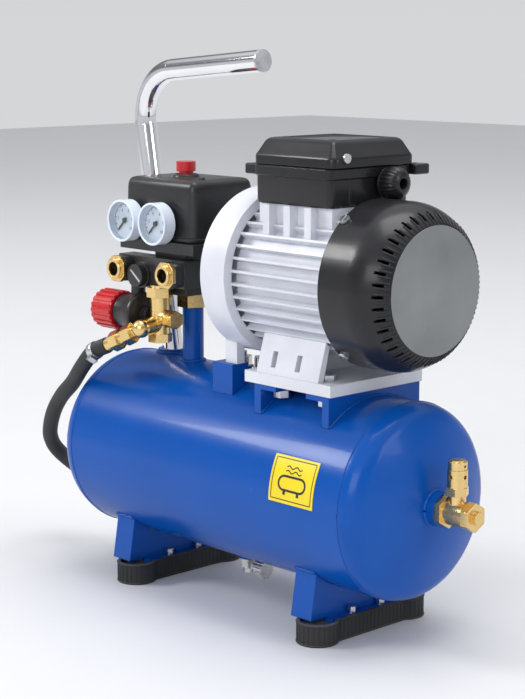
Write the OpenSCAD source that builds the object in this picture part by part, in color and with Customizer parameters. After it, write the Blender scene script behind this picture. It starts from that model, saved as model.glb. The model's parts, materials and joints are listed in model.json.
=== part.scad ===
// Airbrush compressor: an oil-free piston pump on the nose of an electric motor,
// standing on a small horizontal air tank. X runs along the tank, Y points to the
// back, Z is up from the floor. Lengths are in millimetres.

/* [Tank] */
// Outer radius of the tank
tank_r = 75; // [74:0.5:76]
// Distance from the tank's middle to each weld seam
tank_half = 155.5; // [150:0.5:160]
// Height of a domed end
dome_h = 29.5; // [28:0.5:31]
// Radius of the knuckle between the wall and a dome
knuckle_r = 18; // [16:1:20]
// Wall of the tank
tank_wall = 2.5; // [2:0.5:3]
// Height of the tank's axis above the floor
tank_z = 109; // [108.5:0.5:109.5]

/* [Feet] */
// Place of the left foot along the tank
foot_left_x = -104; // [-110:1:-100]
// Place of the right foot along the tank
foot_right_x = 110; // [104:1:112]
// Height of a rubber foot
foot_h = 17; // [16:0.5:18]
// Radius of a foot's round ends
foot_lobe_r = 15.7; // [14:0.1:16]
// Distance from the middle to each round end
foot_lobe_y = 48; // [44:1:50]

/* [Motor] */
// Height of the motor's axis above the tank's axis
motor_rise = 160; // [160:0.5:161]
// Radius over the cooling fins
fin_r = 58; // [57:0.5:58]
// Radius of the front flange, which is the pump's crankcase
flange_r = 65; // [64:0.5:66]
// Radius of the fan cowl
cowl_r = 63; // [62:0.5:64]
// Number of cooling fins around the housing
fin_count = 36; // [24:4:40]

/* [Pump] */
// Throw of the crank: half of the piston's stroke
crank_throw = 4; // [3:0.5:4]
// Radius of the cylinder's bore
bore_r = 22; // [21.5:0.5:22]
// Length of the connecting rod between its two centres
rod_length = 56; // [56:0.5:57]

/* [Controls] */
// Radius of a pressure gauge's case
gauge_r = 17; // [15:0.5:18]
// Radius of the handle's tube
handle_r = 9; // [8:0.5:9]
// Radius of the air hose
hose_r = 6.75; // [6:0.25:7]

/* [Hidden] */
$fn = 64;
fit = 0.05;                       // radial clearance of a running fit
axis_z = tank_z + motor_rise;     // height of the motor's axis
head_r = ((tank_r - knuckle_r) ^ 2 + dome_h ^ 2 - knuckle_r ^ 2) / (2 * (dome_h - knuckle_r));
dome_x = tank_half + dome_h;      // where the tank's domes end
saddle_z = tank_z + 80;           // top of the saddle, under the motor's base
pump_x = -3;                      // plane of the cylinder, the rod and the piston
shaft_r = 7.5;
core_r = 48;                      // inside radius of the motor's housing
housing_r = 52;
box_z = axis_z + fin_r - 1;       // underside of the terminal box
flange_x = [-2, 25];              // where the front flange starts and ends
cowl_x = [123, 149, 180];         // where the cowl starts, rounds over and ends
vent_r = 48;                      // radius of the cowl's flat end
shoulder_r = ((cowl_x[2] - cowl_x[1]) ^ 2 + (cowl_r - vent_r) ^ 2) / (2 * (cowl_r - vent_r));
crank_z = axis_z + crank_throw;   // the crank stands up at rest
eccentric_r = shaft_r + crank_throw + 2;
piston_r = bore_r - 0.4;
eye_r = 2.5 + 2 * crank_throw + 0.3; // the rod's open eye clears the pin all the way round
crown_y = rod_length + 22;        // underside of the piston's crown
cylinder_y = crown_y + 5 + crank_throw + 0.5; // top face of the cylinder
riser = [-85, 0];
tee = [-87, -34, 218];
switch_z = 286;                   // underside of the switch cover
switch_top = switch_z + 50;       // its top face
button_travel = 4;
outlet_x = [-124, -62.5];
outlet_z = 261;
gauge_x = [-117, -78];
gauge_z = 301;
gauge_y = -50;                    // front of the gauges
knob_y = -36;                     // axis of the regulator
knob_z = 224;
button = [-88, -4];
handle_y = 14;
handle_low = [-126.7, 181];       // x and z where the handle leaves the tank
handle_corner = [-167.7, 418];    // where its two straight lines would meet
handle_end = [-16.6, 430];
handle_bend = 40;
joint_gap = 0.02;                 // keeps the handle's three lengths of tube as exact solids
relief_x = 204;
drain_x = -16;
base_bolt_x = [58, 106];
base_bolt_y = 35;
gland = [15.5, box_z + 16.3];         // y and z of the cable gland's axis
cover_angles = [0, 50, 130, 180, 230, 310];
box_centre = [-18.6, 17.6];       // middle of the whole object's footprint

// ---- shapes that repeat ----

// Round bar along X, Y or Z between two places, at the other two coordinates
module rod_x(from, to, r, y, z) translate([from, y, z]) rotate([0, 90, 0]) cylinder(h = to - from, r = r);
module rod_y(from, to, r, x, z) translate([x, to, z]) rotate([90, 0, 0]) cylinder(h = to - from, r = r);
module rod_z(from, to, r, x, y) translate([x, y, from]) cylinder(h = to - from, r = r);

// Hexagonal bar, by its width across the flats
module hex_x(from, to, flats, y, z) translate([from, y, z]) rotate([0, 90, 0]) hex_z_at(0, to - from, flats);
module hex_y(from, to, flats, x, z) translate([x, to, z]) rotate([90, 0, 0]) hex_z_at(0, to - from, flats);
module hex_z_at(from, height, flats)
    translate([0, 0, from]) cylinder(h = height, r = flats / sqrt(3), $fn = 6);

// Block given by its lowest and highest corners
module block(low, high) translate(low) cube(high - low);

// A shape drawn upright, laid along X on the motor's axis
module on_motor(x = 0) translate([x, 0, axis_z]) rotate([0, 90, 0]) children();
// Ring on the motor's axis
module motor_ring(from, to, outer, inner)
    on_motor(from) difference() {
        cylinder(h = to - from, r = outer);
        translate([0, 0, -1]) cylinder(h = to - from + 2, r = inner);
    }

// The same piece on the front and on the back
module both_sides() {
    children();
    mirror([0, 1, 0]) children();
}

function unit(v) = v / norm(v);
function spline(a, b, c, d, t) =
    0.5 * (2 * b + (c - a) * t + (2 * a - 5 * b + 4 * c - d) * t ^ 2 + (3 * b - a - 3 * c + d) * t ^ 3);
function smooth_path(p, steps) = [
    for (i = [0 : len(p) - 2], j = [0 : steps - 1])
        spline(p[max(i - 1, 0)], p[i], p[i + 1], p[min(i + 2, len(p) - 1)], j / steps),
    p[len(p) - 1]
];

// Closed tube that follows a path; side_way is never parallel to the path
module swept_tube(path, r, sides, side_way) {
    n = len(path);
    points = [
        for (i = [0 : n - 1])
            let (t = unit(path[min(i + 1, n - 1)] - path[max(i - 1, 0)]),
                 u = unit(cross(t, side_way)), v = cross(t, u))
                for (k = [0 : sides - 1])
                    path[i] + r * (cos(360 * k / sides) * u + sin(360 * k / sides) * v)
    ];
    walls = [
        for (i = [0 : n - 2], k = [0 : sides - 1])
            let (a = i * sides + k, b = i * sides + (k + 1) % sides)
                each [[a, a + sides, b + sides], [a, b + sides, b]]
    ];
    caps = [[for (k = [0 : sides - 1]) k], [for (k = [sides - 1 : -1 : 0]) (n - 1) * sides + k]];
    polyhedron(points, concat(walls, caps), convexity = 6);
}

// ---- tank ----

// Half outline of a tank, shrunk by gap, standing on its axis
module tank_outline(gap) {
    module half() {
        intersection() {
            translate([0, tank_half + dome_h - head_r]) circle(r = head_r - gap, $fn = 200);
            polygon([[0, 0], [tank_r - knuckle_r, 0], [tank_r - knuckle_r, tank_half],
                     [(tank_r - knuckle_r) * 1.5, tank_half + (head_r - dome_h) * 0.5], [0, tank_half * 2]]);
        }
        intersection() {
            translate([tank_r - knuckle_r, tank_half]) circle(r = knuckle_r - gap);
            square([tank_r, tank_half * 2]);
        }
        square([tank_r - gap, tank_half]);
    }
    half();
    mirror([0, 1]) half();
}

module tank_solid(gap)
    translate([0, 0, tank_z]) rotate([0, 90, 0]) rotate_extrude($fn = 128) tank_outline(gap);

module tank_shell() {
    boss = 13;
    color("#1f5fb4") difference() {
        union() {
            tank_solid(0);
            rod_x(-dome_x - 7, dome_x + 7, boss, 0, tank_z);
            rod_z(tank_z - tank_r - 5, tank_z, 9, drain_x, 0);
            rod_z(tank_z, tank_z + tank_r + 4, 11, -24, -3);
            translate([handle_low[0], handle_y, 0]) rod_z(tank_z, handle_low[1] + 6, 13, 0, 0);
        }
        tank_solid(tank_wall);
        // ring pressed into each dome around its boss
        for (side = [-1, 1])
            translate([side * (dome_x + 2.2), 0, tank_z]) rotate([0, 90, 0])
                rotate_extrude($fn = 128) translate([42, 0]) circle(r = 6);
        rod_x(-dome_x - 8, dome_x + 8, 6.5, 0, tank_z);
        rod_z(tank_z - tank_r - 6, tank_z, 5, drain_x, 0);
        rod_z(tank_z, tank_z + tank_r + 5, 5, -24, -3);
        rod_z(tank_z, tank_z + tank_r + 5, 8.8, riser[0], riser[1]);
        handle_space();
    }
}

module foot_brackets() {
    top = [-50, 58];
    low = [-56.5, foot_h + 0.6];
    color("#1f5fb4") for (x = [foot_left_x, foot_right_x]) difference() {
        union() {
            // slanted strip on the front and on the back
            both_sides() translate([x - 20, 0, 0]) rotate([90, 0, 90]) linear_extrude(21)
                polygon([top, low, low + [3, 0], top + [3, 0]]);
            // web across the tank
            translate([x - 1.5, 0, 0]) rotate([90, 0, 90]) linear_extrude(3)
                polygon([top, low, [-low[0], low[1]], [-top[0], top[1]]]);
            block([x - 1.5, -40, foot_h - 3], [x + 1.5, 40, foot_h + 2]);
            block([x - 1.5, -40, foot_h - 3], [x + 8.5, 40, foot_h]);
        }
        translate([0, 0, tank_z]) rotate([0, 90, 0])
            cylinder(h = 400, r = tank_r + 0.1, center = true, $fn = 128);
        for (y = [-16, 16]) rod_z(0, 30, 3.3, x + 5, y);
    }
}

// Outline of a rubber foot from above, shrunk by gap
module foot_outline(gap) {
    for (y = [-foot_lobe_y, foot_lobe_y]) translate([0, y]) circle(r = foot_lobe_r - gap);
    translate([-11.5 + gap, -foot_lobe_y]) square([23 - 2 * gap, 2 * foot_lobe_y]);
}

module rubber_feet() {
    color("#2a2a2c") for (x = [foot_left_x, foot_right_x]) difference() {
        translate([x, 0, 0]) linear_extrude(foot_h) foot_outline(0);
        translate([x, 0, foot_h - 3]) linear_extrude(10) foot_outline(2.4);
        for (y = [-16, 16]) rod_z(3, 30, 3.1, x + 5, y);
    }
}

module foot_bolts() {
    color("silver") for (x = [foot_left_x, foot_right_x], y = [-16, 16]) translate([x + 5, y, 0]) {
        rod_z(3.1, foot_h + 1, 3, 0, 0);
        hex_z_at(foot_h + 1, 4, 6.4);
    }
}

module motor_saddle() {
    depth = 49.5;
    color("#1f5fb4") {
        for (x = [42.5, 115]) difference() {
            union() {
                block([x, -depth, tank_z + 40], [x + 7, depth, saddle_z]);
                block([x == 115 ? 98 : x, -depth, saddle_z - 4], [x == 115 ? 122 : 66, depth, saddle_z]);
            }
            rod_x(0, 200, tank_r + 0.1, 0, tank_z);
            for (y = [-base_bolt_y, base_bolt_y])
                rod_z(saddle_z - 20, saddle_z + 1, 4.2, base_bolt_x[x == 115 ? 1 : 0], y);
        }
        both_sides() difference() {
            block([-16, -40, tank_z + 50], [7, -23, tank_z + 88]);
            rod_x(-30, 30, tank_r + 0.1, 0, tank_z);
        }
    }
}

module riser_pipe() {
    color("#1f5fb4") difference() {
        rod_z(tank_z + 68, 229, 8.75, riser[0], riser[1]);
        rod_z(tank_z + 60, 235, 6.5, riser[0], riser[1]);
    }
}

module capacity_label() {
    color("#f2e21b") translate([85, 0, tank_z]) rotate([0, 90, 0]) rotate([0, 0, 242])
        rotate_extrude(angle = 27, $fn = 128) translate([tank_r + 0.05, 0]) square([0.4, 46]);
}

module drain_body() {
    low = tank_z - tank_r;
    color("#c9ccd0") difference() {
        union() {
            translate([drain_x, 0, 0]) hex_z_at(low - 13, 7.9, 13);
            rod_z(low - 5.1, low + 4, 4.9, drain_x, 0);
            rod_z(low - 17, low - 13, 5.5, drain_x, 0);
            rod_x(drain_x, drain_x + 9, 4, 0, low - 12);
        }
        rod_z(low - 18, low - 6, 1.5, drain_x, 0);
        rod_x(drain_x + 4, drain_x + 10, 2.05, 0, low - 12);
    }
}

// Knurled thumb screw of the drain
module drain_knob() {
    z = tank_z - tank_r - 12;
    color("#c9ccd0") {
        difference() {
            rod_x(drain_x + 10, drain_x + 20, 7.5, 0, z);
            for (k = [0 : 15]) translate([0, 0, z]) rotate([22.5 * k, 0, 0])
                rod_x(drain_x + 9, drain_x + 21, 0.8, 7.6, 0);
        }
        rod_x(drain_x + 5, drain_x + 10, 2, 0, z);
    }
}

// ---- relief valve on the right end of the tank ----

module relief_elbow() {
    face = dome_x + 7;
    color("#c79a3c") difference() {
        union() {
            rod_x(face - 10, face, 6.4, 0, tank_z);
            hex_x(face + 0.1, face + 5, 22, 0, tank_z);
            rod_x(face + 5, relief_x + 11, 9.5, 0, tank_z);
            hex_x(relief_x + 11, relief_x + 18, 19, 0, tank_z);
            rod_x(relief_x + 18, relief_x + 21.5, 5, 0, tank_z);
            rod_z(tank_z, tank_z + 14, 6.5, relief_x, 0);
            translate([relief_x, 0, 0]) hex_z_at(tank_z + 14, 6, 15);
            rod_z(tank_z + 20, tank_z + 33, 7.5, relief_x, 0);
        }
        rod_z(tank_z + 4, tank_z + 34, 3.05, relief_x, 0);
        rod_x(face - 11, relief_x + 2, 4, 0, tank_z);
        for (side = [0, 90]) translate([relief_x, 0, tank_z + 28]) rotate([0, 0, side])
            rod_x(-10, 10, 1.5, 0, 0);
    }
}

module relief_cap() {
    z = tank_z + 33;
    color("#b88a30") difference() {
        union() {
            rod_z(z + 0.1, z + 6, 7, relief_x, 0);
            rod_z(z + 6, z + 7, 5.6, relief_x, 0);
            rod_z(z - 10, z + 0.1, 3, relief_x, 0);
        }
        // cross hole for lifting it with a hook
        rod_x(relief_x - 10, relief_x + 10, 1, 0, z + 3);
    }
}

// ---- handle ----

// Directions of the handle's lower and upper lines, as angles above +X
function handle_low_angle() = atan2(handle_corner[1] - handle_low[1], handle_corner[0] - handle_low[0]);
function handle_top_angle() = atan2(handle_end[1] - handle_corner[1], handle_end[0] - handle_corner[0]);

// Two straight tubes joined by a round bend
module handle_lines(outer, inner) {
    turn = handle_low_angle() - handle_top_angle();
    tangent = handle_bend * tan(turn / 2);
    low_dir = [cos(handle_low_angle()), sin(handle_low_angle())];
    top_dir = [cos(handle_top_angle()), sin(handle_top_angle())];
    bend_start = handle_corner - tangent * low_dir;
    bend_end = handle_corner + tangent * top_dir;
    centre = bend_start + handle_bend * [low_dir[1], -low_dir[0]];
    module line(from, to) {
        run = to - from;
        translate([from[0], handle_y, from[1]]) rotate([0, 90 - atan2(run[1], run[0]), 0])
            rotate_extrude() translate([inner, 0]) square([outer - inner, norm(run)]);
    }
    line(handle_low - 14 * low_dir, bend_start - joint_gap * low_dir);
    line(bend_end + joint_gap * top_dir, handle_end);
    translate([centre[0], handle_y, centre[1]]) rotate([90, 0, 0])
        rotate([0, 0, handle_top_angle() + 90]) rotate_extrude(angle = turn)
            translate([handle_bend, 0]) difference() {
                circle(r = outer);
                circle(r = inner);
            }
}

// Room for the handle's lower end in its socket on the tank
module handle_space() {
    low_dir = [cos(handle_low_angle()), sin(handle_low_angle())];
    from = handle_low - 14.05 * low_dir;
    translate([from[0], handle_y, from[1]]) rotate([0, 90 - handle_low_angle(), 0])
        cylinder(h = 60, r = handle_r + fit);
}

module handle_tube() {
    color("#d8dade") handle_lines(handle_r, handle_r - 2);
}

module handle_plug() {
    color("#9a9da2") translate([handle_end[0], handle_y, handle_end[1]])
    rotate([0, 90 - handle_top_angle(), 0]) {
        translate([0, 0, -5.5]) cylinder(h = 5.5, r = handle_r - 2);
        cylinder(h = 1.6, r = handle_r);
    }
}

// ---- hose and fittings ----

// The hose is held by the barb on the tee and by the elbow on the tank's left end
hose_route = [
    [-122, -61, 199], [-137.4, -64.1, 191.5], [-158, -60, 176], [-182, -52, 158], [-206, -46, 142],
    [-229, -38, 123], [-247, -29, 102], [-255, -20, 88], [-255, -12, 78], [-247, -5, 69],
    [-232, -1, 61], [-214, 0, 58], [-201, 0, 67], [-201, 0, 83.7]
];

module air_hose() {
    color("#1c1c1e") swept_tube(smooth_path(hose_route, 4), hose_r, 12, [0, 1, 0]);
}

module steel_fittings() {
    face = -dome_x - 7;
    color("#c4c7cb") {
        // elbow on the tank's left end
        rod_x(face, face + 10, 6.4, 0, tank_z);
        hex_x(face - 7, face - 0.1, 20, 0, tank_z);
        rod_x(-206, face - 7, 7, 0, tank_z);
        rod_z(tank_z - 19, tank_z, 7, -201, 0);
        translate([-201, 0, 0]) hex_z_at(tank_z - 24.9, 6, 15);
        // check valve on top of the tank
        difference() {
            union() {
                rod_z(tank_z + tank_r - 5, tank_z + tank_r + 4, 4.9, -24, -3);
                translate([-24, -3, 0]) hex_z_at(tank_z + tank_r + 4.1, 8, 17);
                rod_z(tank_z + tank_r + 12, tank_z + tank_r + 16, 5.5, -24, -3);
            }
            rod_z(tank_z + tank_r - 6, tank_z + tank_r + 17, 2, -24, -3);
        }
        // shut-off stem beside it
        rod_z(tank_z + tank_r + 0.1, tank_z + 90, 3, 0, -6);
        translate([0, -6, 0]) hex_z_at(tank_z + 76, 5, 9);
    }
}

// A bar from one point to another, round or hexagonal by its number of sides
module bar(from, to, r, sides = 64) {
    run = to - from;
    translate(from) rotate([0, acos(run[2] / norm(run)), atan2(run[1], run[0])])
        cylinder(h = norm(run), r = r, $fn = sides);
}

module brass_fittings() {
    front = tee + [0, -20, -2];
    hose_start = [-122, -61, 199];
    run = hose_start - front;
    color("#c79a3c") {
        // nut on top of the riser pipe
        difference() {
            translate([riser[0], riser[1], 0]) hex_z_at(229.1, 12, 23);
            rod_z(229, 242, 6.5, riser[0], riser[1]);
        }
        // tee under the manifold, with a plug to the right and an arm to the front
        difference() {
            union() {
                rod_z(tee[2] - 8, 249.9, 8, tee[0], tee[1]);
                translate([tee[0], tee[1], 0]) hex_z_at(240, 8, 19);
                translate([tee[0], tee[1], 0]) hex_z_at(tee[2] - 15, 7, 17);
                rod_x(tee[0], tee[0] + 11, 7, tee[1], tee[2] + 5);
                hex_x(tee[0] + 11, tee[0] + 21, 13, tee[1], tee[2] + 5);
                bar(tee, front, 7);
                translate(front) sphere(r = 7.6);
            }
            rod_z(tee[2], 251, 4, tee[0], tee[1]);
        }
        // arm of nuts that carries the hose
        bar(front, front + 0.30 * run, 5.5);
        bar(front + 0.22 * run, front + 0.45 * run, 8.6, 6);
        bar(front + 0.45 * run, front + 0.6 * run, 6);
        bar(front + 0.6 * run, front + 0.82 * run, 8.6, 6);
        bar(front + 0.82 * run, front + 0.985 * run, 6);
    }
}

// ---- manifold, regulator, switch and gauges ----

module manifold() {
    color("#252527") difference() {
        union() {
            block([-104, -24, 241.2], [-66, 15, switch_z - 9.1]);
            block([-134, -38, 250], [-52, -22, 272]);
            block([-104, -30, 252], [-66, -20, 270]);
            rod_y(-41, -30, 10.5, -103.4, 257);
        }
        rod_z(240, 280, 6.5, riser[0], riser[1]);
        rod_x(-130, -56, 5, -30, outlet_z);
        for (x = outlet_x) rod_y(-39, -30, 5, x, outlet_z);
        rod_z(249, 262, 4, tee[0], tee[1]);
    }
}

module outlet_couplers() {
    color("#c79a3c") for (x = outlet_x) difference() {
        union() {
            block([x - 10, -50, outlet_z - 10.5], [x + 10, -38.1, outlet_z + 10.5]);
            rod_y(-53, -50, 8.6, x, outlet_z);
        }
        rod_y(-54, -41, 5.72, x, outlet_z);
        rod_y(-42, -38, 4, x, outlet_z);
    }
}

module slotted_plug() {
    color("#303033") difference() {
        rod_y(-47, -41.1, 9.3, -103.4, 257);
        translate([-103.4, -47, 257]) rotate([0, 38, 0]) cube([15, 5, 2.4], center = true);
    }
}

module regulator_body() {
    color("#2b2b2e") difference() {
        union() {
            rod_x(-130, -104, 13.5, knob_y, knob_z);
            rod_x(-136, -130, 9, knob_y, knob_z);
            rod_x(-104, -96, 7, knob_y, knob_z);
            rod_z(knob_z, 249.9, 6, -118, knob_y + 5);
        }
        rod_x(-137, -108, 6, knob_y, knob_z);
    }
}

module regulator_knob() {
    color("#d8222c") difference() {
        union() {
            rod_x(-155.5, -130.4, 15.6, knob_y, knob_z);
            for (k = [0 : 19]) translate([0, knob_y, knob_z]) rotate([18 * k, 0, 0])
                block([-155, -1.3, 14], [-130.9, 1.3, 16.6]);
        }
        rod_x(-151, -130, 9 + fit, knob_y, knob_z);
    }
    color("silver") rod_x(-151, -112, 3, knob_y, knob_z);
}

module switch_base() {
    color("#2b2b2e") difference() {
        union() {
            block([-133.4, -37, switch_z - 9], [-42, 37, switch_z - 0.1]);
            block([-124, -28, switch_z - 0.1], [-54, 28, switch_z + 3]);
        }
        rod_z(270, 300, 6.5, riser[0], riser[1]);
    }
}

module switch_cover() {
    color("#232325") difference() {
        block([-132.5, -34, switch_z], [-45, 34, switch_top]);
        block([-129.5, -31, switch_z - 1], [-48, 31, switch_top - 3]);
        translate([button[0], button[1], switch_top - 4]) cylinder(h = 5, r = 6.4);
        for (x = gauge_x) rod_y(-36, -30, 5.1, x, gauge_z);
    }
}

module switch_contacts() {
    color("#d9d4c4") difference() {
        block([-112, -24, switch_z + 3.1], [-60, 24, switch_z + 22]);
        translate([button[0], button[1], switch_z + 12]) cylinder(h = 12, r = 6);
    }
}

// A collar under the cover's top holds the stem in
module switch_button() {
    head = button_travel + 0.6;
    color("#d8222c") translate([button[0], button[1], switch_top]) {
        translate([0, 0, -8]) cylinder(h = 8 + head, r = 6);
        translate([0, 0, head]) cylinder(h = 8, r = 8);
        translate([0, 0, -12]) cylinder(h = 4, r = 2.5);
        translate([0, 0, -5.6]) cylinder(h = 2, r = 8);
    }
}

// Return spring of the button, between the contact block and its stem
module switch_spring() {
    from = switch_z + 12.2;
    to = switch_top - 8.2;
    turns = 6;
    path = [
        for (i = [0 : turns * 12])
            [button[0] + 4.4 * cos(30 * i), button[1] + 4.4 * sin(30 * i),
             from + 0.7 + (to - from - 1.4) * i / (turns * 12)]
    ];
    color("silver") swept_tube(path, 0.5, 8, [0, 0, 1]);
}

module gauge_cases() {
    color("#dfe6ec") for (x = gauge_x) difference() {
        union() {
            rod_y(gauge_y, gauge_y + 11, gauge_r, x, gauge_z);
            rod_y(gauge_y + 11, gauge_y + 13, gauge_r - 3, x, gauge_z);
            rod_y(gauge_y + 13, -28, 5, x, gauge_z);
        }
        rod_y(gauge_y - 1, gauge_y + 8, gauge_r - 1.6, x, gauge_z);
    }
}

module gauge_dials() {
    color("#f4f7fa") for (x = gauge_x) difference() {
        rod_y(gauge_y + 6, gauge_y + 7.9, gauge_r - 1.7, x, gauge_z);
        rod_y(gauge_y + 5, gauge_y + 9, 0.8 + fit, x, gauge_z);
    }
}

module gauge_needle(x, angle) {
    color("#1c1c1e") {
        translate([x, gauge_y + 4.6, gauge_z]) rotate([0, angle, 0]) block([-0.6, 0, -3], [0.6, 0.7, 11]);
        rod_y(gauge_y + 4, gauge_y + 7.9, 0.8, x, gauge_z);
        rod_y(gauge_y + 4, gauge_y + 5.4, 2, x, gauge_z);
    }
}
module gauge_needle_left() gauge_needle(gauge_x[0], -135);
module gauge_needle_right() gauge_needle(gauge_x[1], -135);

module gauge_lenses() {
    color("#ffffff", 0.35) for (x = gauge_x) rod_y(gauge_y + 0.6, gauge_y + 2, gauge_r - 1.7, x, gauge_z);
}

// ---- motor ----

module motor_housing() {
    color("#e4e6e8") difference() {
        union() {
            motor_ring(flange_x[1] + 0.1, 121, housing_r, core_r);
            on_motor(flange_x[1] + 0.1) for (k = [0 : fin_count - 1])
                rotate([0, 0, (k + 0.5) * 360 / fin_count])
                    translate([housing_r - 1, -1.1, 0]) cube([fin_r - housing_r + 1, 2.2, 95.5]);
            // pad under the terminal box, with ribs down its front
            block([36, -38, axis_z + 40], [113, 38, box_z - 0.1]);
            for (x = [48, 70, 92]) block([x, -46, axis_z + 30], [x + 7, -36, box_z - 0.1]);
        }
        motor_ring(0, 200, core_r, 0);
        block([44, -30, axis_z + 50], [105, 30, box_z + 1]);
        block([33, -20, box_z - 0.1], [118, 20, box_z + 2]);
    }
}

module motor_base() {
    foot = 50;
    hip = 40;
    low = saddle_z + 9;
    color("#e4e6e8") difference() {
        union() {
            block([32, -foot, saddle_z + 0.1], [124, foot, low]);
            translate([44, 0, 0]) rotate([90, 0, 90]) linear_extrude(66)
                polygon([[-foot + 1, low], [-hip, low + 31], [hip, low + 31], [foot - 1, low]]);
        }
        motor_ring(0, 200, fin_r + 0.1, 0);
        // open core of the pedestal, with a rib left in the middle
        for (x = [[48, 74], [78, 111]])
            translate([x[0], 0, 0]) rotate([90, 0, 90]) linear_extrude(x[1] - x[0])
            polygon([[-foot + 7, low], [-hip + 5, low + 32], [hip - 5, low + 32], [foot - 7, low]]);
        // slots in the pedestal's front and back
        for (x = [58, 84]) block([x, -60, low + 5], [x + 5, 60, low + 17]);
        for (x = base_bolt_x, y = [-base_bolt_y, base_bolt_y]) rod_z(saddle_z - 1, low + 1, 4.2, x, y);
    }
}

module base_bolts() {
    color("silver") for (x = base_bolt_x, y = [-base_bolt_y, base_bolt_y]) translate([x, y, 0]) {
        rod_z(saddle_z - 9, saddle_z + 9.1, 4, 0, 0);
        hex_z_at(saddle_z - 10.4, 6.3, 12);
        difference() {
            hex_z_at(saddle_z + 9.1, 4.5, 12);
            translate([0, 0, saddle_z + 12.6]) cylinder(h = 2, r = 3);
        }
    }
}

module stator_core() {
    slots = 24;
    color("#8b8f94") difference() {
        motor_ring(50, 106, core_r - 0.05, 26.6);
        on_motor(49) for (k = [0 : slots - 1])
            rotate([0, 0, k * 360 / slots]) translate([29.5, -1.6, 0]) cube([10, 3.2, 60]);
    }
}

module stator_windings() {
    color("#b4622d") for (x = [43.9, 112.1]) on_motor(x) rotate_extrude() translate([35.5, 0]) circle(r = 6);
    color("#b4622d") on_motor(49.9) for (k = [0 : 23])
        rotate([0, 0, k * 15]) translate([30, -1.4, 0]) cube([9, 2.8, 56.2]);
}

module rear_shield() {
    color("#d5d8da") difference() {
        union() {
            motor_ring(121.1, 127, cowl_r - 2.1, 9);
            motor_ring(121.1, 131, cowl_r - 2.1, cowl_r - 9);
            motor_ring(117.5, 130, 21.5, 9);
            motor_ring(118, 121.1, core_r - 0.1, core_r - 3);
        }
        motor_ring(117.4, 128.6, 17.55, 0);
        // holes for the cowl's screws
        for (a = [38, 142, 218, 322])
            on_motor(127) rotate([0, 0, a]) rotate([0, 90, 0]) cylinder(h = 80, r = 1.9);
    }
}

module motor_bearings() {
    color("#aeb4ba") for (x = [13, 117.6]) {
        motor_ring(x, x + 11, 17.5, 14);
        motor_ring(x, x + 11, 10, shaft_r + fit);
        motor_ring(x + 4, x + 7, 14.1, 9.9);
    }
}

module rotor() {
    color("#9aa0a6") {
        motor_ring(50, 106, 26, shaft_r + 0.02);
        for (x = [45, 106]) motor_ring(x, x + 5, 24, 15);
    }
}

module motor_shaft() {
    color("#c3c8cc") on_motor(-10.5) cylinder(h = 166, r = shaft_r);
}

module fan() {
    blades = 8;
    color("#3a3a3d") difference() {
        union() {
            motor_ring(136, 154, 13, shaft_r);
            motor_ring(136, 138.5, 50, 10);
            on_motor(138) for (k = [0 : blades - 1]) rotate([0, 0, k * 360 / blades])
                translate([12, -1.1, 0]) cube([36, 2.2, 15]);
        }
        motor_ring(130, 160, shaft_r + 0.02, 0);
    }
}

// Solid of the cowl's outside, shrunk by gap
module cowl_outline(gap) {
    square([cowl_r - gap, cowl_x[1] - cowl_x[0]]);
    intersection() {
        translate([cowl_r - shoulder_r, cowl_x[1] - cowl_x[0]]) circle(r = shoulder_r - gap, $fn = 128);
        square([cowl_r, cowl_x[2] - cowl_x[0] - gap]);
    }
}

module fan_cowl() {
    vents = 40;
    length = cowl_x[2] - cowl_x[0];
    color("#1b1b1d") difference() {
        on_motor(cowl_x[0]) rotate_extrude($fn = 128) difference() {
            cowl_outline(0);
            cowl_outline(2);
            translate([0, length - 5]) square([vent_r - 2.2, 6]);
            translate([-1, -1]) square([cowl_r - 1, 2]);
        }
        // ring of vent slots on the shoulder
        on_motor(cowl_x[0]) for (k = [0 : vents - 1]) rotate([0, 0, k * 360 / vents])
            translate([50.5, -1.1, length - 10]) cube([12, 2.2, 7]);
        for (a = [38, 142, 218, 322])
            on_motor(127) rotate([0, 0, a]) rotate([0, 90, 0]) cylinder(h = 80, r = 1.9);
    }
}

module cowl_disc() {
    color("#8d9498") {
        motor_ring(cowl_x[2] - 2.6, cowl_x[2] + 0.4, vent_r - 2.4, 0);
    }
}

// Screws of the fan cowl and of the terminal box's lid
module cover_screws() {
    color("silver") {
        for (a = [38, 142, 218, 322]) on_motor(127) rotate([0, 0, a]) rotate([0, 90, 0]) {
            translate([0, 0, cowl_r - 4]) cylinder(h = 4.1, r = 1.8);
            difference() {
                translate([0, 0, cowl_r + 0.1]) cylinder(h = 2, r = 4);
                translate([-0.5, -5, cowl_r + 1.2]) cube([1, 10, 2]);
            }
        }
        rod_x(119.7, 121.6, 3.6, -31, box_z + 36.5);
        rod_x(115.7, 119.7, 1.6, -31, box_z + 36.5);
    }
}

module terminal_box() {
    rim = box_z + 29;
    color("#2e2f32") difference() {
        union() {
            block([35, -42, box_z], [115, 42, rim]);
            block([33.5, -43.5, rim - 8], [116.5, 43.5, rim]);
            for (corner = [[22, -40, -24], [108, 43, 58]])
                block([corner[0], corner[1], rim - 8], [corner[0] + 14, corner[2], rim]);
        }
        block([38, -39, box_z + 3], [112, 39, rim + 1]);
        block([46, -28, box_z - 1], [103, 28, box_z + 4]);
        rod_x(108, 120, 8.05, gland[0], gland[1]);
        rod_x(108, 120, 1.7, -31, rim - 4);
    }
}

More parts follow.
